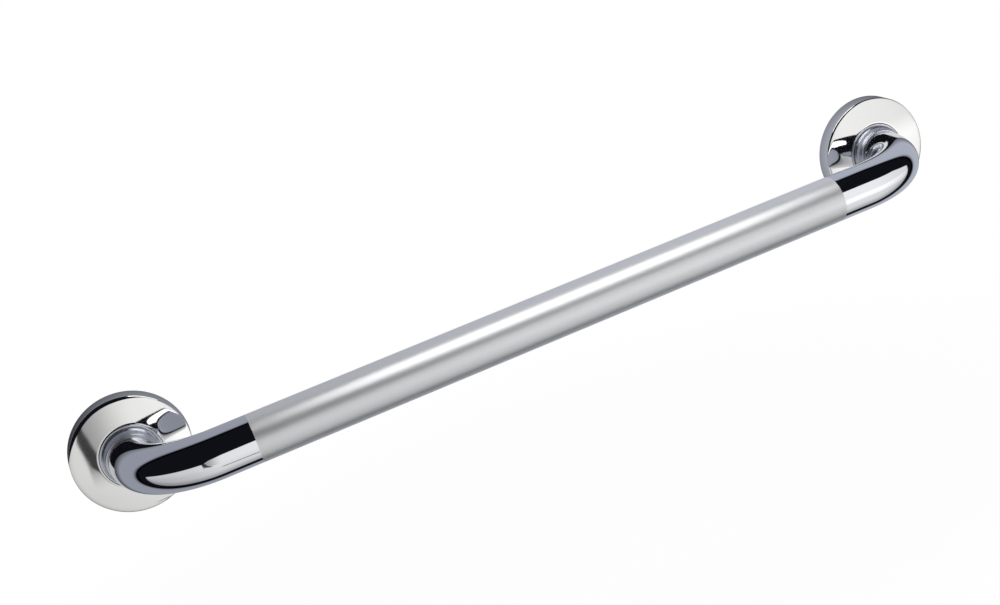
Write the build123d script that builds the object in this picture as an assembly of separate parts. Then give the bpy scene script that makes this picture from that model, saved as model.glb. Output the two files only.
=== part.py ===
from build123d import *
import math
import os

# Wall-mounted grab bar: one bent stainless tube held at each end in a turned wall flange,
# whose fixing screws are hidden by a drawn cover.
# Frame: the wall is the plane y = 0 and the bar stands out of it towards -Y. X runs along
# the bar and Z is up. The origin is on the wall, midway between the two flanges.
# Lengths are millimetres.

# Whole bar
CENTRES = 570.0            # between the axes of the two wall flanges
BEND_RADIUS = 50.0         # centreline radius of each bend, which starts where the boss ends
TUBE_DIA = 32.0            # outside diameter of the tube
TUBE_WALL = 1.5            # wall thickness of the tube
TUBE_END_CHAMFER = 0.4     # deburred edge at the cut ends

# Sealing gasket between flange and wall
GASKET_THICK = 1.5
GASKET_INSET = 1.2         # how far the gasket stays inside the flange's rim

# Wall flange: the disc
FLANGE_THICK = 5.0
FLANGE_COVER_GAP = 0.3     # radial gap between the flange's rim and the cover's face end
FLANGE_EDGE = 0.4          # chamfer on the rim
SCREW_CIRCLE_DIA = 58.0    # pitch circle of the wall screws
SCREW_COUNT = 3
SCREW_HOLE_DIA = 5.5       # clears a 5 mm countersunk wall screw
SCREW_SINK_DIA = 10.4      # countersink at the flange's face
SCREW_SINK_ANGLE = 90.0
FIRST_SCREW_ANGLE = 90.0   # the first hole is straight above the boss

# Wall flange: the turned boss that carries the tube
BOSS_ABOVE_COVER = 8.3     # how far the boss stands out of the cover's hole
LAND_WALL = 5.0            # from the tube out to the land that the cover's hole runs over
LAND_ABOVE_COVER = 0.3     # how far the land stands out of the cover's hole
LAND_ROUND = 0.8
GROOVE_DEPTH = 1.0         # turned groove between the land and the neck
GROOVE_WIDTH = 0.8
NECK_WALL = 3.5            # from the tube out to the ring above the groove
NECK_RING = 0.9            # height of that ring
LIP_WALL = 0.9             # metal left round the socket at the boss's top
LIP_HEIGHT = 0.8           # straight lip at the top
LIP_CHAMFER = 0.25
SHOULDER_CROWN = 0.55      # outward bulge of the tapering shoulder
SOCKET_CLEARANCE = 0.08    # radial gap between socket and tube
SOCKET_WEB = 3.0           # flange metal left behind the socket
TUBE_END_GAP = 0.2         # between the tube's end and the socket's floor

# Drawn cover
COVER_DIA = 80.0           # at the wall
COVER_DEPTH = 11.0         # wall to where the dome would meet the side
COVER_RISE = 2.7           # how far the dome rises from there to the hole
COVER_SHEET = 1.0          # sheet thickness
COVER_TAPER = 0.5          # how much the radius shrinks from wall to face
COVER_SHOULDER = 4.0       # width of the softer curve where the dome turns down to the side
COVER_SHOULDER_DROP = 0.8  # how far that curve falls below the dome
COVER_BEND = 0.2           # inside radius between side and shoulder
COVER_CLEARANCE = 0.15     # radial gap between the cover's hole and the land

# Ring that grips the cover
RING_SECTION_DIA = 2.4
RING_SEAT_GAP = 0.05       # round ring to groove floor, and ring to cover

# Grub screw that holds the tube in its socket
GRUB_DIA = 4.0
GRUB_HOLE_CLEARANCE = 0.05
GRUB_ABOVE_FACE = 0.3      # from the flange's face to the edge of the screw's hole
GRUB_TIP_GAP = 0.03        # cup point to tube
GRUB_INSET = 0.3           # how far the screw stays below the land
GRUB_CHAMFER = 0.4
GRUB_CUP_DIA = 2.0
GRUB_CUP_DEPTH = 0.6
HEX_ACROSS_FLATS = 2.0
HEX_DEPTH = 2.0

# Places worked out from the sizes above; heights are measured out from the wall
TUBE_R = TUBE_DIA / 2
SOCKET_R = TUBE_R + SOCKET_CLEARANCE
COVER_FACE = COVER_DEPTH + COVER_RISE
BOSS_TOP = COVER_FACE + BOSS_ABOVE_COVER
PROJECTION = BOSS_TOP + BEND_RADIUS
FLANGE_BACK = GASKET_THICK
FLANGE_FACE = FLANGE_BACK + FLANGE_THICK
SOCKET_FLOOR = FLANGE_BACK + SOCKET_WEB
TUBE_END = SOCKET_FLOOR + TUBE_END_GAP
LAND_R = TUBE_R + LAND_WALL
LAND_TOP = COVER_FACE + LAND_ABOVE_COVER
NECK_R = TUBE_R + NECK_WALL
GROOVE_R = NECK_R - GROOVE_DEPTH
GROOVE_TOP = LAND_TOP + GROOVE_WIDTH
LIP_R = SOCKET_R + LIP_WALL
COVER_INNER_R = COVER_DIA / 2 - COVER_SHEET
COVER_HOLE_R = LAND_R + COVER_CLEARANCE
COVER_FACE_R = COVER_DIA / 2 - COVER_TAPER
COVER_SIDE = COVER_DEPTH - COVER_SHOULDER_DROP
COVER_KNEE_R = COVER_FACE_R - COVER_SHOULDER
DOME_SPAN = (COVER_FACE_R**2 - COVER_HOLE_R**2 + COVER_RISE**2) / (2 * COVER_RISE)
DOME_R = math.hypot(DOME_SPAN, COVER_HOLE_R)
DOME_CENTRE = COVER_FACE - DOME_SPAN
FLANGE_R = COVER_INNER_R - COVER_TAPER - FLANGE_COVER_GAP
RING_HEIGHT = FLANGE_BACK + FLANGE_THICK / 2
COVER_R_AT_RING = COVER_INNER_R - COVER_TAPER * RING_HEIGHT / (COVER_SIDE - COVER_SHEET)
RING_R = COVER_R_AT_RING - RING_SEAT_GAP - RING_SECTION_DIA / 2
RING_SEAT_R = RING_R - RING_SECTION_DIA / 2 - RING_SEAT_GAP
RING_SEAT_WIDTH = RING_SECTION_DIA + 2 * RING_SEAT_GAP
GRUB_HOLE_R = GRUB_DIA / 2 + GRUB_HOLE_CLEARANCE
GRUB_HEIGHT = FLANGE_FACE + GRUB_ABOVE_FACE + GRUB_HOLE_R
GRUB_TIP = TUBE_R + GRUB_TIP_GAP
GRUB_LENGTH = LAND_R - GRUB_INSET - GRUB_TIP

SIDES = {"left": -CENTRES / 2, "right": CENTRES / 2}


def wall_plane(x):
    """Plane on the wall at x, whose Z is the way out of the wall and whose Y is up."""
    return Plane(origin=(x, 0, 0), x_dir=(1, 0, 0), z_dir=(0, -1, 0))


def turned(*lines):
    """Solid turned about Z from a closed outline drawn in the XZ plane."""
    outline = make_face(Plane.XZ * Curve(lines))
    return revolve(outline, Axis.Z)


def round_edges(solid, radius):
    """Full circles of the given radius among a turned solid's edges."""
    circles = solid.edges().filter_by(GeomType.CIRCLE).filter_by(lambda edge: edge.is_closed)
    return circles.filter_by(lambda edge: abs(edge.radius - radius) < 0.01)


def screw_places():
    """Places of the wall screws round the flange's axis."""
    return PolarLocations(SCREW_CIRCLE_DIA / 2, SCREW_COUNT, FIRST_SCREW_ANGLE)


def grub_plane(radius):
    """Plane across the grub screw's axis, below the boss and facing away from the tube."""
    return Plane(origin=(0, -radius, GRUB_HEIGHT), x_dir=(1, 0, 0), z_dir=(0, -1, 0))


def grip_tube():
    """Tube from one socket floor to the other, with a bend over each flange."""
    half = CENTRES / 2
    corners = [(-half, -TUBE_END), (-half, -PROJECTION), (half, -PROJECTION), (half, -TUBE_END)]
    path = FilletPolyline(*corners, radius=BEND_RADIUS)
    section = Circle(TUBE_R) - Circle(TUBE_R - TUBE_WALL)
    tube = sweep(Plane(origin=path @ 0, z_dir=path % 0) * section, path)
    ends = tube.edges().filter_by_position(Axis.Y, -TUBE_END - 0.01, -TUBE_END + 0.01)
    return chamfer(ends, TUBE_END_CHAMFER)


def wall_gasket():
    """Flat foam-rubber disc that seals the screw holes against the wall."""
    disc = Cylinder(FLANGE_R - GASKET_INSET, GASKET_THICK, align=(Align.CENTER, Align.CENTER, Align.MIN))
    holes = screw_places() * Cylinder(SCREW_HOLE_DIA / 2, 3 * GASKET_THICK)
    return disc - holes


def boss_outline():
    """Outline of the boss from the flange's face, over the land, groove and shoulder."""
    shoulder_start = (NECK_R, GROOVE_TOP + NECK_RING)
    shoulder_end = (LIP_R, BOSS_TOP - LIP_HEIGHT)
    middle = (Vector(*shoulder_start) + Vector(*shoulder_end)) / 2
    crown = middle + Vector(1, 0.45).normalized() * SHOULDER_CROWN
    land_edge = LAND_TOP - LAND_ROUND
    return [
        Polyline((FLANGE_R, FLANGE_FACE), (LAND_R, FLANGE_FACE), (LAND_R, land_edge)),
        RadiusArc((LAND_R, land_edge), (LAND_R - LAND_ROUND, LAND_TOP), -LAND_ROUND),
        Polyline(
            (LAND_R - LAND_ROUND, LAND_TOP),
            (GROOVE_R, LAND_TOP),
            (GROOVE_R, GROOVE_TOP),
            (NECK_R, GROOVE_TOP),
            shoulder_start,
        ),
        ThreePointArc(shoulder_start, (crown.X, crown.Y), shoulder_end),
        Polyline(
            shoulder_end,
            (LIP_R, BOSS_TOP - LIP_CHAMFER),
            (LIP_R - LIP_CHAMFER, BOSS_TOP),
            (SOCKET_R, BOSS_TOP),
            (SOCKET_R, SOCKET_FLOOR),
            (0, SOCKET_FLOOR),
        ),
    ]


def wall_flange():
    """Turned disc and boss in one piece, with its screw holes, ring groove and grub screw hole."""
    back = Polyline((0, SOCKET_FLOOR), (0, FLANGE_BACK), (FLANGE_R, FLANGE_BACK), (FLANGE_R, FLANGE_FACE))
    flange = turned(*boss_outline(), back)
    flange = chamfer(round_edges(flange, FLANGE_R), FLANGE_EDGE)
    ring_seat = Cylinder(FLANGE_R + 1, RING_SEAT_WIDTH) - Cylinder(RING_SEAT_R, RING_SEAT_WIDTH)
    flange -= Pos(0, 0, RING_HEIGHT) * ring_seat
    face = Plane.XY.offset(FLANGE_FACE)
    flange -= face * screw_places() * CounterSinkHole(
        SCREW_HOLE_DIA / 2, SCREW_SINK_DIA / 2, FLANGE_THICK, SCREW_SINK_ANGLE
    )
    grub_hole = Cylinder(GRUB_HOLE_R, 2 * (LAND_R - TUBE_R) + GRUB_DIA)
    return flange - grub_plane(LAND_R) * grub_hole


def on_dome(radius, inset):
    """Point of the cover's dome this far from its axis, or of its inside, this far below."""
    return (radius, DOME_CENTRE + math.sqrt(DOME_R**2 - radius**2) - inset)


def cap(inset, edge):
    """Solid cap this far inside the cover's outside: tapered side, soft shoulder and dome."""
    rim = (COVER_FACE_R - inset, COVER_SIDE - inset)
    knee = on_dome(COVER_KNEE_R, inset)
    top = on_dome(0, inset)
    fall = (math.sqrt(DOME_R**2 - COVER_KNEE_R**2), -COVER_KNEE_R)
    side = Polyline(top, (0, 0), (COVER_DIA / 2 - inset, 0), rim)
    shoulder = TangentArc(knee, rim, tangent=fall)
    dome = ThreePointArc(knee, on_dome(COVER_KNEE_R / 2, inset), top)
    solid = turned(side, shoulder, dome)
    return fillet(round_edges(solid, rim[0]), edge)


def cover():
    """Drawn sheet cover that slides over the boss and hides the flange and its screws."""
    outside = cap(0, COVER_BEND + COVER_SHEET)
    inside = cap(COVER_SHEET, COVER_BEND)
    hole = Cylinder(COVER_HOLE_R, 4 * COVER_DEPTH)
    return outside - inside - hole


def cover_ring():
    """Rubber ring in the flange's rim groove that grips the inside of the cover."""
    return Pos(0, 0, RING_HEIGHT) * Torus(RING_R, RING_SECTION_DIA / 2)


def grub_screw():
    """Hexagon socket grub screw with a cup point, below the boss and under the cover."""
    body = Cylinder(GRUB_DIA / 2, GRUB_LENGTH, align=(Align.CENTER, Align.CENTER, Align.MIN))
    body = chamfer(body.edges().filter_by(GeomType.CIRCLE), GRUB_CHAMFER)
    socket = extrude(RegularPolygon(HEX_ACROSS_FLATS / 2, 6, major_radius=False), HEX_DEPTH)
    cup = Cone(GRUB_CUP_DIA / 2, 0, GRUB_CUP_DEPTH, align=(Align.CENTER, Align.CENTER, Align.MIN))
    screw = body - Pos(0, 0, GRUB_LENGTH - HEX_DEPTH) * socket - cup
    return grub_plane(GRUB_TIP) * screw


def build():
    """Every piece of the bar by its node's name."""
    pieces = {"grip_tube": grip_tube()}
    end_pieces = {
        "wall_gasket": wall_gasket(),
        "wall_flange": wall_flange(),
        "cover": cover(),
        "cover_ring": cover_ring(),
        "grub_screw": grub_screw(),
    }
    for side, x in SIDES.items():
        for name, piece in end_pieces.items():
            pieces[f"{name}_{side}"] = wall_plane(x) * piece
    return pieces


os.makedirs("parts", exist_ok=True)
for node, piece in build().items():
    export_step(piece, f"parts/{node}.step")
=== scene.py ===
import math

import bmesh
import bpy
from mathutils import Matrix, Vector


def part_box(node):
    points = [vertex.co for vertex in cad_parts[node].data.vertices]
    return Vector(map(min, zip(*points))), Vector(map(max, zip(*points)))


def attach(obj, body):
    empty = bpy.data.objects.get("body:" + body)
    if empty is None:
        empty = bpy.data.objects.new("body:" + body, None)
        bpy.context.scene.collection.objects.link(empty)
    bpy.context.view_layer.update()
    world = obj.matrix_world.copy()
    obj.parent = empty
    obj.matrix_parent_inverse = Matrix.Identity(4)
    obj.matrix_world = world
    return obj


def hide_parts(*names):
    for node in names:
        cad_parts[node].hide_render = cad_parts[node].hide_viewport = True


bl_info = {
    "name": "Grab Bar",
    "version": (1, 0, 0),
    "blender": (4, 5, 0),
    "location": "View3D > Sidebar > Grab Bar",
    "description": "Dresses a wall-mounted grab bar and lights it in a plain studio",
    "category": "Object",
}

MM = 0.001
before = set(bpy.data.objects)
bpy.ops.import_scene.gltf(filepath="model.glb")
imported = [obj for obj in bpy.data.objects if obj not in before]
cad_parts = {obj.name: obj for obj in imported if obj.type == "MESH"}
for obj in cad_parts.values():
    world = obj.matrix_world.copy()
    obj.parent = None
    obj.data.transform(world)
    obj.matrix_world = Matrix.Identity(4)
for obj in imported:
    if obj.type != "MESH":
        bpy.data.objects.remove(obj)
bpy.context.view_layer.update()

# The CAD pieces give every place: the wall is y = 0 and the bar stands out towards -Y.
# Heights are measured out from the wall.
TUBE_LOW, TUBE_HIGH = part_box("grip_tube")
FLANGE_LOW, FLANGE_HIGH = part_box("wall_flange_left")
COVER_LOW, COVER_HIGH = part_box("cover_left")
RING_LOW, RING_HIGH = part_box("cover_ring_left")
GRUB_LOW, GRUB_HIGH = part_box("grub_screw_left")
TUBE_R = (TUBE_HIGH.z - TUBE_LOW.z) / 2
PROJECTION = -TUBE_LOW.y - TUBE_R
TUBE_END = -TUBE_HIGH.y
HALF_CENTRES = TUBE_HIGH.x - TUBE_R
BOSS_TOP = -FLANGE_LOW.y
FLANGE_BACK = -FLANGE_HIGH.y
FLANGE_R = (FLANGE_HIGH.x - FLANGE_LOW.x) / 2
COVER_R = (COVER_HIGH.x - COVER_LOW.x) / 2
COVER_FACE = -COVER_LOW.y
SIDES = {"left": -HALF_CENTRES, "right": HALF_CENTRES}

# Faces round each turned or bent piece
TUBE_SEGMENTS = 144
BEND_STEPS = 56
COVER_SEGMENTS = 180
BOSS_SEGMENTS = 144
HOLE_SEGMENTS = 48
FACE_STEPS = 12
HOLE_EDGE_STEPS = 3
LAND_ROUND_STEPS = 6
SHARP_ANGLE = math.radians(40)
MERGE_DISTANCE = 1e-6
CIRCLE_TOLERANCE = 0.02 * MM

# Flange and boss, where no CAD box gives the size
FLANGE_FACE = FLANGE_BACK + 5 * MM
SOCKET_FLOOR = FLANGE_BACK + 3 * MM
SOCKET_GAP = 0.08 * MM
GROOVE_WIDTH = 0.8 * MM
NECK_HEIGHT = 0.9 * MM
LIP_WALL = 0.9 * MM
LIP_HEIGHT = 0.8 * MM
SHOULDER_CROWN = 0.55 * MM
SHOULDER_STEPS = 8
RING_GAP = 0.05 * MM
GRUB_GAP = 0.05 * MM
GRUB_CUT = 14 * MM
SCREW_TURNS = (90, 210, 330)

# The painted studio, as degrees from straight out of the wall: across counts to the right and
# up counts upwards. Each list holds (degrees, value) points.
SOFTBOX_TOP_BY_ACROSS = [
    (-90, -6), (-60, -3), (-30, -2), (-19, -2), (-12, 5.5), (0, 9), (28, 28), (60, 22), (80, 8), (95, -5)
]
SOFTBOX_BY_DEGREES_DOWN = [
    (0, 1), (20, 1), (45, 0.84), (56, 0.82), (63, 0.74), (71, 0.58), (80, 0.46), (90, 0.3)
]
SOFTBOX_BY_ACROSS = [
    (-60, 0.68), (-30, 0.76), (-12, 0.88), (4, 0.99), (16, 1.06), (30, 1.02), (60, 0.9), (95, 0.8)
]
SEAM_ACROSS_BY_UP = [(-60, 9), (-46, 1.5), (-36, -4), (-17, -16), (-8, -17.5), (2, -18.5)]
SEAM_WIDTH_BY_UP = [(-46, 0.9), (-30, 1.3), (-18, 2.6), (-6, 2.6), (2, 1.5)]
ROOM_BLACK = (0.006, 0.0062, 0.009, 1)
WALL_GREY = (0.425, 0.445, 0.51, 1)
# Painted light on the glowing wall sheet: its glow grows brighter to the right, as (x in metres, strength)
# points.
PAINTED_LIGHT_BY_X = [(-0.3, 0.8), (0, 0.97), (0.3, 1.13)]
WHITE = (1, 1, 1, 1)

# The floor and the sheet are squares. From a shadowed middle the floor turns white farther out, and the
# sheet stands just behind the wall line and fades towards its edges.
FLOOR_HALF_WIDTH = 8
FLOOR_SHADOW_REACH = 0.45
FLOOR_WHITE_FROM = 0.9
SHEET_HALF_WIDTH = 1
SHEET_SET_BACK = 0.5 * MM
SHEET_FULL_HEIGHT, SHEET_END_HEIGHT = 0.19, 0.44
SHEET_FULL_WIDTH, SHEET_END_WIDTH = 0.49, 0.74
# Painted shadow on the glowing wall sheet round each cover: darkest within the first radius, gone beyond the
# second.
PAINTED_SHADOW_DARK_R, PAINTED_SHADOW_END_R = 30 * MM, 70 * MM

# Each lamp's size, place and power
BAR_LAMP = ((0.51, 0.36), (0.135, -0.265, 0.445), 1.36)
CEILING_SOFTBOX = ((2.0, 1.4), (0.1, -0.5, 2.0), 44)

SMOOTH = {"interpolation_type": "SMOOTHSTEP"}


def length(name, description, default):
    """A length property in metres, shown in the units of the scene."""
    return bpy.props.FloatProperty(
        name=name, description=description, default=default, unit="LENGTH", precision=5
    )


def colour(name, description, default):
    """A colour property that holds linear values, given as sRGB hex."""
    return bpy.props.FloatVectorProperty(
        name=name, description=description, default=linear(default), subtype="COLOR", size=3, min=0, max=1
    )


def linear(code):
    """Linear RGB of an sRGB hex code such as "#8a8f96"."""
    values = [int(code[i : i + 2], 16) / 255 for i in (1, 3, 5)]
    return tuple(v / 12.92 if v <= 0.04045 else ((v + 0.055) / 1.055) ** 2.4 for v in values)


class GrabBarTube(bpy.types.PropertyGroup):
    """Sizes and colours of the bent tube."""

    wall: length("Wall", "Wall thickness of the tube", 1.5 * MM)
    grip_length: length("Satin length", "Length of the satin grip between the polished ends", 422 * MM)
    satin: colour("Satin steel", "Colour of the satin grip", "#e2e3e4")
    polished: colour("Polished steel", "Colour of the mirror-polished bends", "#e6e8ec")


class GrabBarCover(bpy.types.PropertyGroup):
    """Sizes and colour of the round covers."""

    depth: length("Depth", "From the wall to where the dome would meet the side", 11 * MM)
    sheet: length("Sheet", "Thickness of the drawn sheet", 1 * MM)
    taper: length("Taper", "How much the radius shrinks towards the face", 0.5 * MM)
    shoulder: length("Shoulder", "Width of the soft curve where the dome turns down", 2.6 * MM)
    drop: length("Drop", "How far the shoulder falls below the dome", 0.65 * MM)
    hole: length("Hole", "Radius of the hole round the boss", 21.15 * MM)
    edge: length("Hole edge", "Radius at the edge of the hole", 0.15 * MM)
    steel: colour("Cover steel", "Colour of the polished cover", "#e9e9e8")


class GrabBarBoss(bpy.types.PropertyGroup):
    """Sizes and colour of the turned flanges and bosses."""

    land: length("Land", "Radius of the land inside the cover's hole", 21 * MM)
    land_top: length("Land top", "Height of the land, from the wall", 14 * MM)
    land_round: length("Land round", "Radius at the land's edge", 0.8 * MM)
    neck: length("Neck", "Radius of the ring above the groove", 19.5 * MM)
    groove: length("Groove", "Radius at the floor of the groove", 18.5 * MM)
    screw_circle: length("Screw circle", "Radius of the circle that the wall screws stand on", 29 * MM)
    screw_hole: length("Screw hole", "Radius of a wall screw's hole", 2.75 * MM)
    screw_sink: length("Countersink", "Radius of a wall screw's countersink at the face", 5.2 * MM)
    steel: colour("Turned steel", "Colour of the turned boss", "#d8dbe3")


class GrabBarStudio(bpy.types.PropertyGroup):
    """Camera and floor."""

    focal: bpy.props.FloatProperty(name="Lens", description="Focal length in millimetres", default=51.58)
    distance: length("Distance", "From the camera to the point it looks at", 0.9986)
    azimuth: bpy.props.FloatProperty(
        name="Azimuth", description="Turn of the camera round the bar", default=math.radians(-13.5),
        subtype="ANGLE"
    )
    elevation: bpy.props.FloatProperty(
        name="Elevation", description="Height of the camera", default=math.radians(17.98), subtype="ANGLE"
    )
    roll: bpy.props.FloatProperty(
        name="Roll", description="Tilt of the picture", default=math.radians(-17.94), subtype="ANGLE"
    )
    target: bpy.props.FloatVectorProperty(
        name="Target", description="Point that the camera looks at", default=(-0.01786, 0, -0.00231),
        unit="LENGTH"
    )
    floor_drop: length("Floor", "How far the floor lies below the bar", 0.32)


def add_node(tree, kind, inputs=(), **settings):
    """Adds a node, sets its attributes, and fills or links its inputs by name or number."""
    node = tree.nodes.new(kind)
    for key, value in settings.items():
        setattr(node, key, value)
    for key, value in dict(inputs).items():
        if isinstance(value, bpy.types.NodeSocket):
            tree.links.new(value, node.inputs[key])
        else:
            node.inputs[key].default_value = value
    return node


def bent_line(tree, value, points):
    """Output that runs in straight lines through these (input, output) points."""
    low, high = points[0][0], points[-1][0]
    heights = [height for _, height in points]
    bottom, top = min(heights), max(heights)
    place = add_node(tree, "ShaderNodeMapRange", {"Value": value, "From Min": low, "From Max": high})
    node = add_node(tree, "ShaderNodeFloatCurve", {"Value": place.outputs[0]})
    curve = node.mapping.curves[0]
    spots = [((x - low) / (high - low), (y - bottom) / (top - bottom)) for x, y in points]
    curve.points[0].location = spots[0]
    curve.points[-1].location = spots[-1]
    for spot in spots[1:-1]:
        curve.points.new(*spot)
    for point in curve.points:
        point.handle_type = "VECTOR"
    node.mapping.update()
    back = {"Value": node.outputs[0], "To Min": bottom, "To Max": top}
    return add_node(tree, "ShaderNodeMapRange", back).outputs[0]


def new_material(name):
    """Material with an empty node tree, and that tree."""
    material = bpy.data.materials.new(name)
    material.use_nodes = True
    material.node_tree.nodes.clear()
    return material, material.node_tree


def finish_material(tree, shader):
    """Links a shader to the surface output."""
    add_node(tree, "ShaderNodeOutputMaterial", {"Surface": shader.outputs[0]})


def tube_steel(tube):
    """Stainless tube: bead-blasted satin between two mirror-polished ends.

    The satin blurs what it reflects into soft bands with a fine dry grain, and scatters a
    fifth of the light like a dull surface. The polished ends give sharp black and white bands.
    The edge between them is masked off, so it is crisp.
    """
    # Blasted grain is about 0.05 mm across, too fine to show here, so it is drawn at 0.5 mm.
    grain_size = 0.5 * MM
    haze_size = 18 * MM
    mask_blur = 0.05 * MM
    material, tree = new_material("satin_and_polished_stainless")
    place = add_node(tree, "ShaderNodeTexCoord").outputs["Object"]
    along = add_node(tree, "ShaderNodeSeparateXYZ", {0: place}).outputs["X"]
    outward = add_node(tree, "ShaderNodeMath", {0: along}, operation="ABSOLUTE").outputs[0]
    edge = tube.grip_length / 2
    grip = add_node(
        tree, "ShaderNodeMapRange",
        {"Value": outward, "From Min": edge - mask_blur, "From Max": edge + mask_blur,
         "To Min": 1.0, "To Max": 0.0}
    ).outputs[0]
    drawn_out = add_node(tree, "ShaderNodeMapping", {"Vector": place, "Scale": (0.35, 1, 1)}).outputs[0]
    grain = add_node(
        tree, "ShaderNodeTexNoise",
        {"Vector": drawn_out, "Scale": 1 / grain_size, "Detail": 3.0, "Roughness": 0.6}
    ).outputs["Fac"]
    haze = add_node(
        tree, "ShaderNodeTexNoise", {"Vector": place, "Scale": 1 / haze_size, "Detail": 2.0}
    ).outputs["Fac"]
    satin_rough = add_node(
        tree, "ShaderNodeMapRange",
        {"Value": grain, "From Min": 0.3, "From Max": 0.7, "To Min": 0.34, "To Max": 0.41}
    ).outputs[0]
    polish_rough = add_node(
        tree, "ShaderNodeMapRange",
        {"Value": haze, "From Min": 0.3, "From Max": 0.7, "To Min": 0.03, "To Max": 0.055}
    ).outputs[0]
    roughness = add_node(
        tree, "ShaderNodeMix", {"Factor": grip, "A": polish_rough, "B": satin_rough}, data_type="FLOAT"
    ).outputs[0]
    satin_tone = add_node(
        tree, "ShaderNodeMix",
        {"Factor": grain, "A": (*[0.90 * v for v in tube.satin], 1), "B": (*tube.satin, 1)}, data_type="RGBA"
    ).outputs["Result"]
    tone = add_node(
        tree, "ShaderNodeMix", {"Factor": grip, "A": (*tube.polished, 1), "B": satin_tone}, data_type="RGBA"
    ).outputs["Result"]
    relief = add_node(tree, "ShaderNodeMath", {0: grain, 1: grip}, operation="MULTIPLY").outputs[0]
    bump = add_node(
        tree, "ShaderNodeBump", {"Height": relief, "Strength": 0.2, "Distance": 0.01 * MM}
    ).outputs[0]
    metal = add_node(tree, "ShaderNodeMapRange", {"Value": grip, "To Min": 1.0, "To Max": 0.8}).outputs[0]
    shader = add_node(
        tree, "ShaderNodeBsdfPrincipled",
        {"Base Color": tone, "Metallic": metal, "Roughness": roughness, "Normal": bump}
    )
    finish_material(tree, shader)
    return material


def cover_steel(cover):
    """Drawn stainless sheet, mirror polished: a nearly flat mirror with a breath of haze."""
    haze_size = 9 * MM
    material, tree = new_material("mirror_polished_sheet")
    place = add_node(tree, "ShaderNodeTexCoord").outputs["Object"]
    haze = add_node(
        tree, "ShaderNodeTexNoise",
        {"Vector": place, "Scale": 1 / haze_size, "Detail": 4.0, "Roughness": 0.6}
    ).outputs["Fac"]
    roughness = add_node(
        tree, "ShaderNodeMapRange",
        {"Value": haze, "From Min": 0.3, "From Max": 0.7, "To Min": 0.035, "To Max": 0.07}
    ).outputs[0]
    tone = add_node(
        tree, "ShaderNodeMix",
        {"Factor": haze, "A": (*[0.97 * v for v in cover.steel], 1), "B": (*cover.steel, 1)},
        data_type="RGBA"
    ).outputs["Result"]
    shader = add_node(
        tree, "ShaderNodeBsdfPrincipled", {"Base Color": tone, "Metallic": 1.0, "Roughness": roughness}
    )
    finish_material(tree, shader)
    return material


def boss_steel(boss, x):
    """Turned stainless: tool marks run round the boss and draw a highlight out into a ring."""
    # A finishing cut leaves marks about 0.1 mm apart. They are drawn at 0.22 mm, so that they show.
    mark_spacing = 0.22 * MM
    material, tree = new_material("fine_turned_stainless")
    place = add_node(tree, "ShaderNodeTexCoord").outputs["Object"]
    centred = add_node(tree, "ShaderNodeMapping", {"Vector": place, "Location": (-x, 0, 0)}).outputs[0]
    axes = add_node(tree, "ShaderNodeSeparateXYZ", {0: centred}).outputs
    flat = add_node(tree, "ShaderNodeCombineXYZ", {"X": axes["X"], "Y": axes["Z"]}).outputs[0]
    radius = add_node(tree, "ShaderNodeVectorMath", {0: flat}, operation="LENGTH").outputs["Value"]
    profile = add_node(tree, "ShaderNodeMath", {0: radius, 1: axes["Y"]}, operation="ADD").outputs[0]
    marks = add_node(
        tree, "ShaderNodeTexNoise",
        {"W": profile, "Scale": 1 / mark_spacing, "Detail": 3.0, "Roughness": 0.7}, noise_dimensions="1D"
    ).outputs["Fac"]
    roughness = add_node(
        tree, "ShaderNodeMapRange",
        {"Value": marks, "From Min": 0.25, "From Max": 0.75, "To Min": 0.3, "To Max": 0.36}
    ).outputs[0]
    tone = add_node(
        tree, "ShaderNodeMix",
        {"Factor": marks, "A": (*[0.88 * v for v in boss.steel], 1), "B": (*boss.steel, 1)}, data_type="RGBA"
    ).outputs["Result"]
    bump = add_node(
        tree, "ShaderNodeBump", {"Height": marks, "Strength": 0.1, "Distance": 0.01 * MM}
    ).outputs[0]
    round_about = add_node(
        tree, "ShaderNodeVectorMath", {0: centred, 1: (0, 1, 0)}, operation="CROSS_PRODUCT"
    ).outputs["Vector"]
    shader = add_node(
        tree, "ShaderNodeBsdfPrincipled",
        {"Base Color": tone, "Metallic": 1.0, "Roughness": roughness, "Anisotropic": 0.15,
         "Tangent": round_about, "Normal": bump}
    )
    finish_material(tree, shader)
    return material


def rubber(name, code, grain_size, depth):
    """Black rubber, matt, with the open grain of foam or the fine bloom of a moulded ring."""
    material, tree = new_material(name)
    place = add_node(tree, "ShaderNodeTexCoord").outputs["Object"]
    grain = add_node(
        tree, "ShaderNodeTexNoise",
        {"Vector": place, "Scale": 1 / grain_size, "Detail": 4.0, "Roughness": 0.65}
    ).outputs["Fac"]
    base = linear(code)
    tone = add_node(
        tree, "ShaderNodeMix",
        {"Factor": grain, "A": (*[0.6 * v for v in base], 1), "B": (*[1.5 * v for v in base], 1)},
        data_type="RGBA"
    ).outputs["Result"]
    bump = add_node(
        tree, "ShaderNodeBump", {"Height": grain, "Strength": 0.6, "Distance": depth}
    ).outputs[0]
    shader = add_node(
        tree, "ShaderNodeBsdfPrincipled", {"Base Color": tone, "Roughness": 0.85, "Normal": bump}
    )
    finish_material(tree, shader)
    return material


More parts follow.
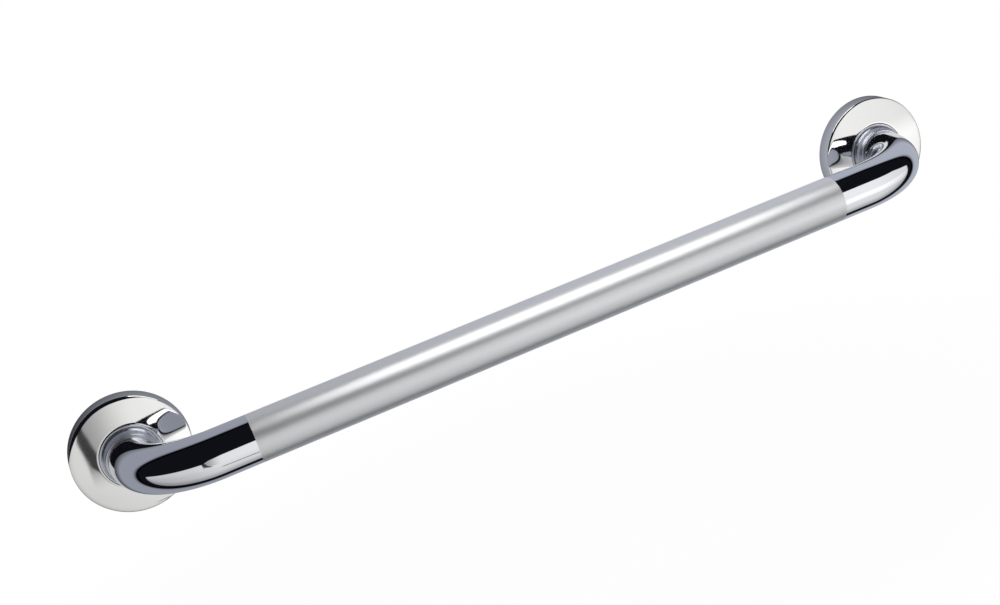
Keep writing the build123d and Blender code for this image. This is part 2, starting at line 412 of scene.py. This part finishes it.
def screw_steel():
    """Black-oxide alloy steel: a dark satin skin, a little brown where it is rubbed."""
    wear_size = 1.2 * MM
    material, tree = new_material("black_oxide_steel")
    place = add_node(tree, "ShaderNodeTexCoord").outputs["Object"]
    wear = add_node(
        tree, "ShaderNodeTexNoise", {"Vector": place, "Scale": 1 / wear_size, "Detail": 3.0}
    ).outputs["Fac"]
    tone = add_node(
        tree, "ShaderNodeMix",
        {"Factor": wear, "A": (*linear("#26262a"), 1), "B": (*linear("#4a4644"), 1)}, data_type="RGBA"
    ).outputs["Result"]
    shader = add_node(
        tree, "ShaderNodeBsdfPrincipled", {"Base Color": tone, "Metallic": 0.9, "Roughness": 0.42}
    )
    finish_material(tree, shader)
    return material


def dress(node, material):
    """Gives a carried-over CAD node its material."""
    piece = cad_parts[node]
    piece.data.materials.clear()
    piece.data.materials.append(material)


def new_piece(name, bm, material, slot, *replaced):
    """Turns a bmesh into a smooth piece that rides on the bar and stands for its CAD nodes."""
    bmesh.ops.remove_doubles(bm, verts=bm.verts, dist=MERGE_DISTANCE)
    bmesh.ops.recalc_face_normals(bm, faces=bm.faces)
    mesh = bpy.data.meshes.new(name)
    bm.to_mesh(mesh)
    bm.free()
    mesh.shade_smooth()
    mesh.set_sharp_from_angle(angle=SHARP_ANGLE)
    piece = bpy.data.objects.new(name, mesh)
    bpy.context.scene.collection.objects.link(piece)
    mesh.materials.append(material)
    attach(piece, "root")
    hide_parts(*replaced)
    return piece


def moved(bm, ring, offset):
    """Extrudes a ring of edges by an offset and returns the new ring."""
    made = bmesh.ops.extrude_edge_only(bm, edges=ring)["geom"]
    verts = [g for g in made if isinstance(g, bmesh.types.BMVert)]
    bmesh.ops.translate(bm, verts=verts, vec=offset)
    return [g for g in made if isinstance(g, bmesh.types.BMEdge)]


def turned_round(bm, ring, centre):
    """Spins a ring of edges a quarter turn round an upright line, as a tube bender does."""
    made = bmesh.ops.spin(
        bm, geom=ring, cent=centre, axis=(0, 0, 1), dvec=(0, 0, 0), angle=math.pi / 2, steps=BEND_STEPS,
        use_merge=False
    )["geom_last"]
    return [g for g in made if isinstance(g, bmesh.types.BMEdge)]


def revolved(bm, points, x, z, steps):
    """Turns a section of (radius, height) points round the line that leaves the wall at (x, z).

    The section is a closed one, or an open one that starts and ends on that line.
    """
    verts = [bm.verts.new((x + radius, -height, z)) for radius, height in points]
    pairs = list(zip(verts, verts[1:]))
    if points[0][0] > 0:
        pairs.append((verts[-1], verts[0]))
    edges = [bm.edges.new(pair) for pair in pairs]
    bmesh.ops.spin(
        bm, geom=verts + edges, cent=(x, 0, z), axis=(0, 1, 0), dvec=(0, 0, 0), angle=2 * math.pi,
        steps=steps, use_merge=True
    )
    bmesh.ops.remove_doubles(bm, verts=bm.verts, dist=MERGE_DISTANCE)
    return bm


def rounded(bm, x, radius, height, offset, segments):
    """Bevels the circle with this radius and height on the round piece at x."""
    def on_circle(vert):
        here = math.hypot(vert.co.x - x, vert.co.z)
        return max(abs(here - radius), abs(-vert.co.y - height)) < CIRCLE_TOLERANCE

    bmesh.ops.recalc_face_normals(bm, faces=bm.faces)
    circle = [edge for edge in bm.edges if all(on_circle(v) for v in edge.verts)]
    bmesh.ops.bevel(
        bm, geom=circle, offset=offset, offset_type="OFFSET", affect="EDGES", segments=segments, profile=0.5,
        material=-1
    )


def drilled(blank, cutters):
    """What is left of a blank when a Boolean has taken the cutters out of it."""
    holders = []
    for bm in (blank, cutters):
        bmesh.ops.recalc_face_normals(bm, faces=bm.faces)
        mesh = bpy.data.meshes.new("blank")
        bm.to_mesh(mesh)
        bm.free()
        holders.append(bpy.data.objects.new("blank", mesh))
        bpy.context.scene.collection.objects.link(holders[-1])
    drill = holders[0].modifiers.new("drill", "BOOLEAN")
    drill.object = holders[1]
    shaped = holders[0].evaluated_get(bpy.context.evaluated_depsgraph_get())
    rest = bmesh.new()
    rest.from_mesh(shaped.to_mesh())
    shaped.to_mesh_clear()
    for holder in holders:
        bpy.data.meshes.remove(holder.data)
    return rest


class GRABBAR_OT_tube(bpy.types.Operator):
    """Sweep the tube from socket to socket with a bend over each flange, and give it its wall"""

    bl_idname = "grabbar.tube"
    bl_label = "Grip Tube"

    def execute(self, context):
        tube = context.scene.grab_bar_tube
        # A narrow band of faces at each end of a straight keeps its shading even.
        band = 1 * MM
        bend_r = PROJECTION - BOSS_TOP
        leg = BOSS_TOP - TUBE_END
        half = HALF_CENTRES - bend_r
        grip = tube.grip_length / 2
        polished = half - band - grip
        lying = Matrix.Translation((-HALF_CENTRES, -TUBE_END, 0)) @ Matrix.Rotation(math.pi / 2, 4, "X")
        bm = bmesh.new()
        bmesh.ops.create_circle(bm, segments=TUBE_SEGMENTS, radius=TUBE_R, matrix=lying)
        ring = bm.edges[:]
        for step in (leg - band, band):
            ring = moved(bm, ring, (0, -step, 0))
        ring = turned_round(bm, ring, (-half, -BOSS_TOP, 0))
        for step in (band, polished, grip, grip, polished, band):
            ring = moved(bm, ring, (step, 0, 0))
        ring = turned_round(bm, ring, (half, -BOSS_TOP, 0))
        for step in (band, leg - band):
            ring = moved(bm, ring, (0, step, 0))
        bmesh.ops.recalc_face_normals(bm, faces=bm.faces)
        bmesh.ops.solidify(bm, geom=bm.faces[:], thickness=tube.wall)
        new_piece("tube_skin", bm, tube_steel(tube), "satin_and_polished_tube", "grip_tube")
        return {"FINISHED"}


class GRABBAR_OT_covers(bpy.types.Operator):
    """Turn the two drawn covers, with their domed face and rounded edge"""

    bl_idname = "grabbar.covers"
    bl_label = "Covers"

    def section(self, cover):
        """Closed section of the sheet, from the rim at the wall over the face and back inside."""
        face_r = COVER_R - cover.taper
        rise = COVER_FACE - cover.depth
        span = (face_r**2 - cover.hole**2 + rise**2) / (2 * rise)
        dome_r = math.hypot(span, cover.hole)
        knee_r = face_r - cover.shoulder

        def face(inset):
            """Points from the rim at the wall to the hole, this far inside the sheet's outside."""
            def on_dome(radius, fall=0.0):
                return (radius, COVER_FACE - span + math.sqrt(dome_r**2 - radius**2) - fall - inset)

            width = cover.shoulder - inset
            turns = [math.radians(90 - 90 / FACE_STEPS * i) for i in range(FACE_STEPS)]
            shoulder = [
                on_dome(knee_r + width * math.sin(t), cover.drop * (1 - math.cos(t))) for t in turns
            ]
            dome = [on_dome(knee_r + (cover.hole - knee_r) * i / FACE_STEPS) for i in range(FACE_STEPS + 1)]
            return [(COVER_R - inset, 0)] + shoulder + dome

        return face(0) + face(cover.sheet)[::-1]

    def execute(self, context):
        cover = context.scene.grab_bar_cover
        steel = cover_steel(cover)
        for side, x in SIDES.items():
            bm = revolved(bmesh.new(), self.section(cover), x, 0, COVER_SEGMENTS)
            rounded(bm, x, cover.hole, COVER_FACE, cover.edge, HOLE_EDGE_STEPS)
            new_piece(f"cover_shell_{side}", bm, steel, "polished_cover", f"cover_{side}")
        return {"FINISHED"}


class GRABBAR_OT_bosses(bpy.types.Operator):
    """Turn the two wall flanges with their boss, and drill them"""

    bl_idname = "grabbar.bosses"
    bl_label = "Turned Bosses"

    def section(self, boss):
        """Section of flange and boss as (radius, height from the wall), from the axis to the axis."""
        seat_low, seat_high = -RING_HIGH.y - RING_GAP, -RING_LOW.y + RING_GAP
        seat_r = (RING_HIGH.x - RING_LOW.x) / 2 - (RING_HIGH.y - RING_LOW.y) - RING_GAP
        groove_top = boss.land_top + GROOVE_WIDTH
        neck_top = groove_top + NECK_HEIGHT
        socket = TUBE_R + SOCKET_GAP
        lip = socket + LIP_WALL
        lip_foot = BOSS_TOP - LIP_HEIGHT
        shoulder = []
        for i in range(1, SHOULDER_STEPS):
            t = i / SHOULDER_STEPS
            swell = 4 * t * (1 - t) * SHOULDER_CROWN
            radius = boss.neck + (lip - boss.neck) * t + swell
            shoulder.append((radius, neck_top + (lip_foot - neck_top) * t))
        return [
            (0, FLANGE_BACK), (FLANGE_R, FLANGE_BACK),
            (FLANGE_R, seat_low), (seat_r, seat_low), (seat_r, seat_high), (FLANGE_R, seat_high),
            (FLANGE_R, FLANGE_FACE), (boss.land, FLANGE_FACE), (boss.land, boss.land_top),
            (boss.groove, boss.land_top), (boss.groove, groove_top),
            (boss.neck, groove_top), (boss.neck, neck_top),
            *shoulder, (lip, lip_foot), (lip, BOSS_TOP),
            (socket, BOSS_TOP), (socket, SOCKET_FLOOR), (0, SOCKET_FLOOR),
        ]

    def cutters(self, boss, x):
        """Cutters for the three countersunk wall screws and for the grub screw below the boss."""
        past = 1 * MM
        sink_foot = FLANGE_FACE - boss.screw_sink + boss.screw_hole
        outline = [
            (0, FLANGE_BACK - past), (boss.screw_hole, FLANGE_BACK - past),
            (boss.screw_hole, sink_foot), (boss.screw_sink, FLANGE_FACE),
            (boss.screw_sink, FLANGE_FACE + past), (0, FLANGE_FACE + past),
        ]
        bm = bmesh.new()
        for turn in SCREW_TURNS:
            angle = math.radians(turn)
            place_x = x + boss.screw_circle * math.cos(angle)
            place_z = boss.screw_circle * math.sin(angle)
            revolved(bm, outline, place_x, place_z, HOLE_SEGMENTS)
        grub_r = (GRUB_HIGH.x - GRUB_LOW.x) / 2 + GRUB_GAP
        place = Matrix.Translation((x, (GRUB_LOW.y + GRUB_HIGH.y) / 2, -boss.land))
        bmesh.ops.create_cone(
            bm, cap_ends=True, segments=HOLE_SEGMENTS, radius1=grub_r, radius2=grub_r, depth=GRUB_CUT,
            matrix=place
        )
        return bm

    def execute(self, context):
        boss = context.scene.grab_bar_boss
        for side, x in SIDES.items():
            bm = revolved(bmesh.new(), self.section(boss), x, 0, BOSS_SEGMENTS)
            rounded(bm, x, boss.land, boss.land_top, boss.land_round, LAND_ROUND_STEPS)
            bm = drilled(bm, self.cutters(boss, x))
            new_piece(f"boss_{side}", bm, boss_steel(boss, x), "turned_flange", f"wall_flange_{side}")
        return {"FINISHED"}


class GRABBAR_OT_hidden(bpy.types.Operator):
    """Give the gaskets, cover rings and grub screws their finish"""

    bl_idname = "grabbar.hidden"
    bl_label = "Gaskets, Rings and Screws"

    def execute(self, context):
        foam = rubber("closed_cell_foam_rubber", "#1f2022", 0.6 * MM, 0.1 * MM)
        ring = rubber("nitrile_ring_rubber", "#17171a", 0.15 * MM, 0.01 * MM)
        screw = screw_steel()
        for side in SIDES:
            dress(f"wall_gasket_{side}", foam)
            dress(f"cover_ring_{side}", ring)
            dress(f"grub_screw_{side}", screw)
        return {"FINISHED"}


class GRABBAR_OT_studio(bpy.types.Operator):
    """Set up the camera, the floor, the surroundings that the steel reflects, and the lamps"""

    bl_idname = "grabbar.studio"
    bl_label = "Studio"

    def camera(self, scene, studio):
        """Camera at the photograph's viewing angle."""
        azimuth, elevation = studio.azimuth, studio.elevation
        back = Vector((
            math.sin(azimuth) * math.cos(elevation), -math.cos(azimuth) * math.cos(elevation),
            math.sin(elevation)
        ))
        camera = bpy.data.objects.new("camera", bpy.data.cameras.new("camera"))
        camera.data.sensor_width = 36
        camera.data.sensor_fit = "HORIZONTAL"
        camera.data.lens = studio.focal
        camera.data.clip_start = 0.01
        camera.location = Vector(studio.target) + back * studio.distance
        look = back.to_track_quat("Z", "Y").to_matrix()
        camera.rotation_euler = (look @ Matrix.Rotation(studio.roll, 3, "Z")).to_euler()
        scene.collection.objects.link(camera)
        scene.camera = camera

    def backdrop(self, scene, name, size, matrix, material):
        """Square of the stage with this material."""
        bm = bmesh.new()
        bmesh.ops.create_grid(bm, x_segments=1, y_segments=1, size=size, matrix=matrix)
        mesh = bpy.data.meshes.new(name)
        bm.to_mesh(mesh)
        bm.free()
        mesh.materials.append(material)
        square = bpy.data.objects.new(name, mesh)
        scene.collection.objects.link(square)
        return square

    def floor(self, scene, studio):
        """Plain pale floor below the bar that keeps its shadow and turns pure white farther out."""
        material, tree = new_material("pale_floor")
        seen = add_node(tree, "ShaderNodeLightPath").outputs["Is Camera Ray"]
        place = add_node(tree, "ShaderNodeTexCoord").outputs["Object"]
        away = add_node(tree, "ShaderNodeVectorMath", {0: place}, operation="LENGTH").outputs["Value"]
        white = add_node(
            tree, "ShaderNodeMapRange",
            {"Value": away, "From Min": FLOOR_SHADOW_REACH, "From Max": FLOOR_WHITE_FROM,
             "To Min": 0.94, "To Max": 1.0}, **SMOOTH
        ).outputs[0]
        paint = add_node(tree, "ShaderNodeBsdfDiffuse", {"Color": (0.9, 0.9, 0.9, 1)}).outputs[0]
        glow = add_node(tree, "ShaderNodeEmission", {"Color": WHITE, "Strength": 1.0}).outputs[0]
        share = add_node(tree, "ShaderNodeMath", {0: seen, 1: white}, operation="MULTIPLY").outputs[0]
        finish_material(tree, add_node(tree, "ShaderNodeMixShader", {0: share, 1: paint, 2: glow}))
        level = Matrix.Translation((0, 0, -studio.floor_drop))
        floor = self.backdrop(scene, "floor", FLOOR_HALF_WIDTH, level, material)
        floor.visible_glossy = False

    def sheet(self, scene):
        """Grey sheet on the wall, seen only by the steel. It glows in place of a lamp-lit wall, with painted
        shadow round the covers and painted light that grows brighter to the right.
        """
        painted_shadow_out, painted_shadow_down = 12 * MM, 5 * MM
        material, tree = new_material("glowing_sheet_with_painted_light")
        place = add_node(tree, "ShaderNodeTexCoord").outputs["Object"]
        along, _, upward = add_node(tree, "ShaderNodeSeparateXYZ", {0: place}).outputs
        outward = add_node(tree, "ShaderNodeMath", {0: along}, operation="ABSOLUTE").outputs[0]
        height = add_node(tree, "ShaderNodeMath", {0: upward}, operation="ABSOLUTE").outputs[0]
        aside = add_node(
            tree, "ShaderNodeMath", {0: outward, 1: HALF_CENTRES + painted_shadow_out}, operation="SUBTRACT"
        ).outputs[0]
        above = add_node(tree, "ShaderNodeMath", {0: upward, 1: painted_shadow_down}, operation="ADD").outputs[0]
        offset = add_node(tree, "ShaderNodeCombineXYZ", {"X": aside, "Y": above}).outputs[0]
        near = add_node(tree, "ShaderNodeVectorMath", {0: offset}, operation="LENGTH").outputs["Value"]
        # Painted shadow: the sheet's glow is dimmed round a point just outboard of and below each cover.
        painted_shadow = add_node(
            tree, "ShaderNodeMapRange",
            {"Value": near, "From Min": PAINTED_SHADOW_DARK_R, "From Max": PAINTED_SHADOW_END_R, "To Min": 0.1, "To Max": 1.0},
            **SMOOTH
        ).outputs[0]
        within_height = add_node(
            tree, "ShaderNodeMapRange",
            {"Value": height, "From Min": SHEET_END_HEIGHT, "From Max": SHEET_FULL_HEIGHT}, **SMOOTH
        ).outputs[0]
        within_width = add_node(
            tree, "ShaderNodeMapRange",
            {"Value": outward, "From Min": SHEET_END_WIDTH, "From Max": SHEET_FULL_WIDTH}, **SMOOTH
        ).outputs[0]
        # Painted light: the glow grows brighter to the right, then the painted shadow and the fades at the
        # edges are multiplied in.
        tone = bent_line(tree, along, PAINTED_LIGHT_BY_X)
        for part in (painted_shadow, within_height, within_width):
            tone = add_node(tree, "ShaderNodeMath", {0: tone, 1: part}, operation="MULTIPLY").outputs[0]
        finish_material(tree, add_node(tree, "ShaderNodeEmission", {"Color": WALL_GREY, "Strength": tone}))
        upright = Matrix.Translation((0, SHEET_SET_BACK, 0)) @ Matrix.Rotation(math.pi / 2, 4, "X")
        sheet = self.backdrop(scene, "wall_sheet", SHEET_HALF_WIDTH, upright, material)
        sheet.visible_camera = False
        sheet.visible_shadow = False

    def seam(self, tree, across, upward):
        """Dark seam down the softbox's left half, with a break in it below the middle."""
        centre = bent_line(tree, upward, SEAM_ACROSS_BY_UP)
        width = bent_line(tree, upward, SEAM_WIDTH_BY_UP)
        offset = add_node(tree, "ShaderNodeMath", {0: across, 1: centre}, operation="SUBTRACT").outputs[0]
        aside = add_node(tree, "ShaderNodeMath", {0: offset}, operation="ABSOLUTE").outputs[0]
        widths = add_node(tree, "ShaderNodeMath", {0: aside, 1: width}, operation="DIVIDE").outputs[0]
        tone = add_node(
            tree, "ShaderNodeMapRange",
            {"Value": widths, "From Min": 0.6, "From Max": 1.15, "To Min": 0.12, "To Max": 1.0}, **SMOOTH
        ).outputs[0]
        below = add_node(
            tree, "ShaderNodeMapRange", {"Value": upward, "From Min": -22, "From Max": -28}, **SMOOTH
        ).outputs[0]
        above = add_node(
            tree, "ShaderNodeMapRange", {"Value": upward, "From Min": -44, "From Max": -41}, **SMOOTH
        ).outputs[0]
        gap = add_node(tree, "ShaderNodeMath", {0: below, 1: above}, operation="MULTIPLY").outputs[0]
        return add_node(tree, "ShaderNodeMath", {0: tone, 1: gap}, operation="MAXIMUM").outputs[0]

    def hollow(self, tree, across, upward):
        """Dimmer upper middle of the softbox, to the right of the seam."""
        tone = add_node(
            tree, "ShaderNodeMapRange",
            {"Value": across, "From Min": -17, "From Max": 4, "To Min": 0.45, "To Max": 1.0}, **SMOOTH
        ).outputs[0]
        for value, start, end in ((upward, -10, -28), (across, -18, -20)):
            outside = add_node(
                tree, "ShaderNodeMapRange", {"Value": value, "From Min": start, "From Max": end}, **SMOOTH
            ).outputs[0]
            tone = add_node(tree, "ShaderNodeMath", {0: tone, 1: outside}, operation="MAXIMUM").outputs[0]
        return tone

    def glow(self, tree, across, upward):
        """Brighter patch in the softbox's right half."""
        offset = add_node(tree, "ShaderNodeMath", {0: upward, 1: 21.0}, operation="ADD").outputs[0]
        away = add_node(tree, "ShaderNodeMath", {0: offset}, operation="ABSOLUTE").outputs[0]
        extra = add_node(
            tree, "ShaderNodeMapRange",
            {"Value": away, "From Min": 15.0, "From Max": 5.0, "To Min": 0.0, "To Max": 0.28}, **SMOOTH
        ).outputs[0]
        right = add_node(
            tree, "ShaderNodeMapRange", {"Value": across, "From Min": 6.0, "From Max": 24.0}, **SMOOTH
        ).outputs[0]
        patch = add_node(tree, "ShaderNodeMath", {0: extra, 1: right}, operation="MULTIPLY").outputs[0]
        return add_node(tree, "ShaderNodeMath", {0: patch, 1: 1.0}, operation="ADD").outputs[0]

    def softbox(self, tree):
        """Brightness of the softbox by direction, 0 outside it."""
        direction = add_node(tree, "ShaderNodeTexCoord").outputs["Generated"]
        right, into_wall, up = add_node(tree, "ShaderNodeSeparateXYZ", {0: direction}).outputs
        ahead = add_node(tree, "ShaderNodeMath", {0: into_wall, 1: -1.0}, operation="MULTIPLY").outputs[0]
        down = add_node(tree, "ShaderNodeMath", {0: up, 1: -1.0}, operation="MULTIPLY").outputs[0]
        flat = add_node(tree, "ShaderNodeCombineXYZ", {"X": right, "Y": up}).outputs[0]
        off_axis = add_node(tree, "ShaderNodeVectorMath", {0: flat}, operation="LENGTH").outputs["Value"]
        tilt = add_node(tree, "ShaderNodeMath", {0: off_axis, 1: ahead}, operation="ARCTAN2").outputs[0]
        degrees = add_node(tree, "ShaderNodeMath", {0: tilt}, operation="DEGREES").outputs[0]
        share = add_node(tree, "ShaderNodeMath", {0: degrees, 1: off_axis}, operation="DIVIDE").outputs[0]
        across = add_node(tree, "ShaderNodeMath", {0: right, 1: share}, operation="MULTIPLY").outputs[0]
        upward = add_node(tree, "ShaderNodeMath", {0: up, 1: share}, operation="MULTIPLY").outputs[0]
        dip = add_node(tree, "ShaderNodeMath", {0: down, 1: ahead}, operation="ARCTAN2").outputs[0]
        sunk = add_node(tree, "ShaderNodeMath", {0: dip}, operation="DEGREES").outputs[0]
        top_edge = bent_line(tree, across, SOFTBOX_TOP_BY_ACROSS)
        inside = add_node(tree, "ShaderNodeMath", {0: top_edge, 1: upward}, operation="SUBTRACT").outputs[0]
        lit = add_node(
            tree, "ShaderNodeMapRange", {"Value": inside, "From Min": -0.8, "From Max": 0.8}, **SMOOTH
        ).outputs[0]
        front = add_node(
            tree, "ShaderNodeMapRange", {"Value": ahead, "From Min": 0.065, "From Max": 0.085}, **SMOOTH
        ).outputs[0]
        factors = (
            lit,
            bent_line(tree, sunk, SOFTBOX_BY_DEGREES_DOWN),
            bent_line(tree, across, SOFTBOX_BY_ACROSS),
            self.hollow(tree, across, upward),
            self.seam(tree, across, upward),
            self.glow(tree, across, upward),
        )
        tone = front
        for factor in factors:
            tone = add_node(tree, "ShaderNodeMath", {0: tone, 1: factor}, operation="MULTIPLY").outputs[0]
        return tone

    def world(self, scene):
        """Surroundings of a small product studio, as a dome that the steel reflects.

        A white softbox covers the lower front. It has a wavy upper edge, a dark seam down its
        left half, is dimmer on the left, and fades towards the ground. The rest of the room is
        black. The camera sees plain white instead.
        """
        world = bpy.data.worlds.new("studio")
        scene.world = world
        world.use_nodes = True
        tree = world.node_tree
        tree.nodes.clear()
        surround = add_node(
            tree, "ShaderNodeMix", {"Factor": self.softbox(tree), "A": ROOM_BLACK, "B": WHITE},
            data_type="RGBA", clamp_factor=False
        ).outputs["Result"]
        seen = add_node(tree, "ShaderNodeLightPath").outputs["Is Camera Ray"]
        final = add_node(
            tree, "ShaderNodeMix", {"Factor": seen, "A": surround, "B": WHITE}, data_type="RGBA"
        ).outputs["Result"]
        background = add_node(tree, "ShaderNodeBackground", {"Color": final, "Strength": 1.0})
        add_node(tree, "ShaderNodeOutputWorld", {"Surface": background.outputs[0]})

    def lamp(self, scene, name, size, place, energy):
        """Rectangular lamp that faces straight down and is hidden from the camera."""
        data = bpy.data.lights.new(name, "AREA")
        data.shape = "RECTANGLE"
        data.size, data.size_y = size
        data.energy = energy
        lamp = bpy.data.objects.new(name, data)
        lamp.location = place
        lamp.visible_camera = False
        scene.collection.objects.link(lamp)
        return lamp

    def lamps(self, scene):
        """A lamp close above the bar, that its steel reflects, and a broad one for the floor."""
        self.lamp(scene, "bar_lamp", *BAR_LAMP)
        ceiling = self.lamp(scene, "ceiling_softbox", *CEILING_SOFTBOX)
        ceiling.visible_glossy = False

    def execute(self, context):
        scene = context.scene
        studio = scene.grab_bar_studio
        self.camera(scene, studio)
        self.floor(scene, studio)
        self.sheet(scene)
        self.world(scene)
        self.lamps(scene)
        scene.view_settings.view_transform = "Standard"
        return {"FINISHED"}


class GRABBAR_PT_panel(bpy.types.Panel):
    """Buttons and sizes of the grab bar"""

    bl_label = "Grab Bar"
    bl_idname = "GRABBAR_PT_panel"
    bl_space_type = "VIEW_3D"
    bl_region_type = "UI"
    bl_category = "Grab Bar"

    def draw(self, context):
        for step in STEPS:
            self.layout.operator(step.bl_idname)
        for name in SETTINGS:
            settings = getattr(context.scene, name)
            box = self.layout.box()
            for key in settings.bl_rna.properties.keys():
                if key not in ("rna_type", "name"):
                    box.prop(settings, key)


SETTINGS = {
    "grab_bar_tube": GrabBarTube,
    "grab_bar_cover": GrabBarCover,
    "grab_bar_boss": GrabBarBoss,
    "grab_bar_studio": GrabBarStudio,
}
STEPS = (GRABBAR_OT_tube, GRABBAR_OT_covers, GRABBAR_OT_bosses, GRABBAR_OT_hidden, GRABBAR_OT_studio)


def register():
    for cls in (*SETTINGS.values(), *STEPS, GRABBAR_PT_panel):
        bpy.utils.register_class(cls)
    for name, group in SETTINGS.items():
        setattr(bpy.types.Scene, name, bpy.props.PointerProperty(type=group))


def unregister():
    for name in SETTINGS:
        delattr(bpy.types.Scene, name)
    for cls in (GRABBAR_PT_panel, *reversed(STEPS), *reversed(SETTINGS.values())):
        bpy.utils.unregister_class(cls)


def main():
    """Builds the dressed bar and the studio."""
    register()
    for step in STEPS:
        group, name = step.bl_idname.split(".")
        getattr(getattr(bpy.ops, group), name)()


if __name__ == "__main__":
    main()
